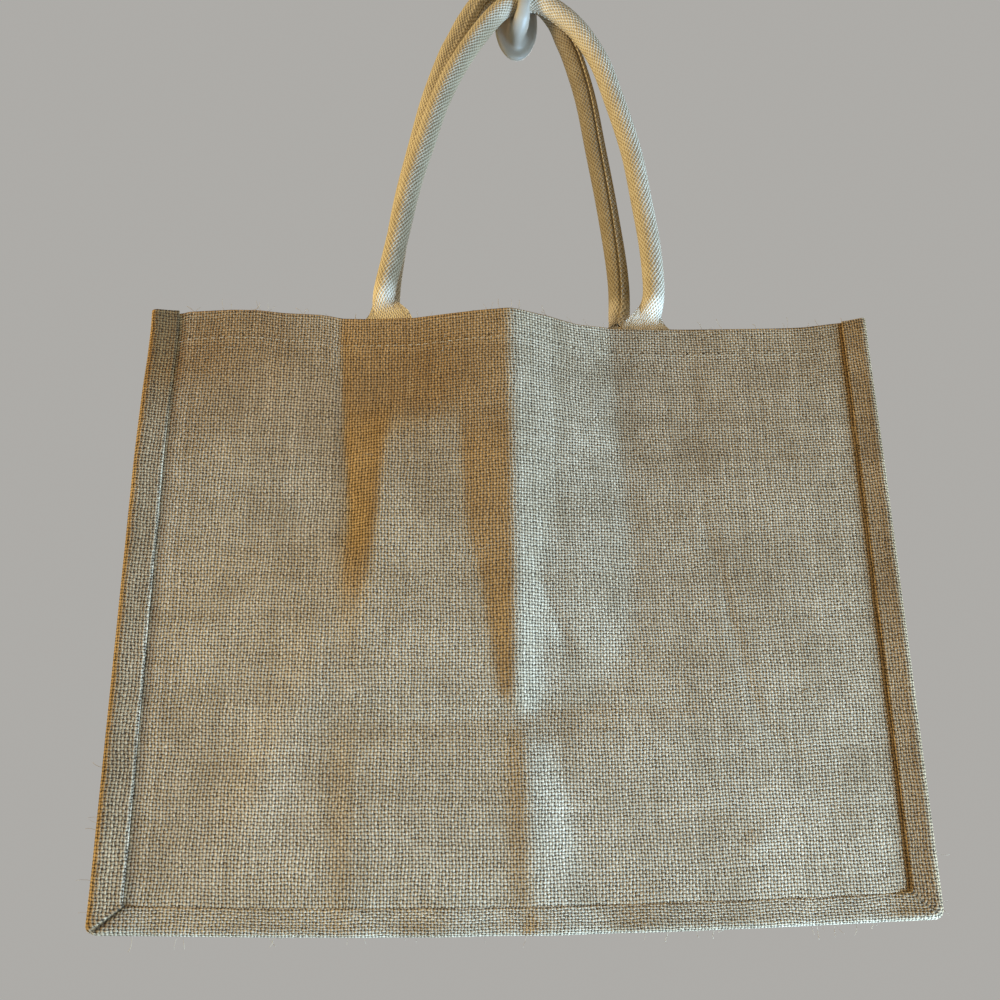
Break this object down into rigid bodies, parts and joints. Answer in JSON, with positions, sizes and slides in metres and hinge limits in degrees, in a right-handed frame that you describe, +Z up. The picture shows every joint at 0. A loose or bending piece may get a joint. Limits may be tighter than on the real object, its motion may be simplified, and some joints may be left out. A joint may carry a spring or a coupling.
{
  "type": "burlap tote bag hanging on its wall hook",
  "caption": "Wide open-top burlap tote bag with folded gusset bands round its face, hanging flat by its corded cotton handles from a plain moulded wall hook.",
  "frame": {"origin": "the middle of the hook plate's back face, where it lies on the wall", "axes": "+X to the right seen from the front of the bag, +Y into the wall, +Z up"},
  "size_m": [0.4347, 0.055, 0.6465],
  "materials": {
    "burlap": "coarse plain weave, matte",
    "cotton_webbing": "twill webbing, matte",
    "hook_white": "smooth, half gloss"
  },
  "bodies": {
    "root": {"front_panel": "burlap", "back_panel": "burlap", "gusset": "burlap", "handle_front": "cotton_webbing", "handle_back": "cotton_webbing", "wall_hook": "hook_white"}
  },
  "joints": []
}
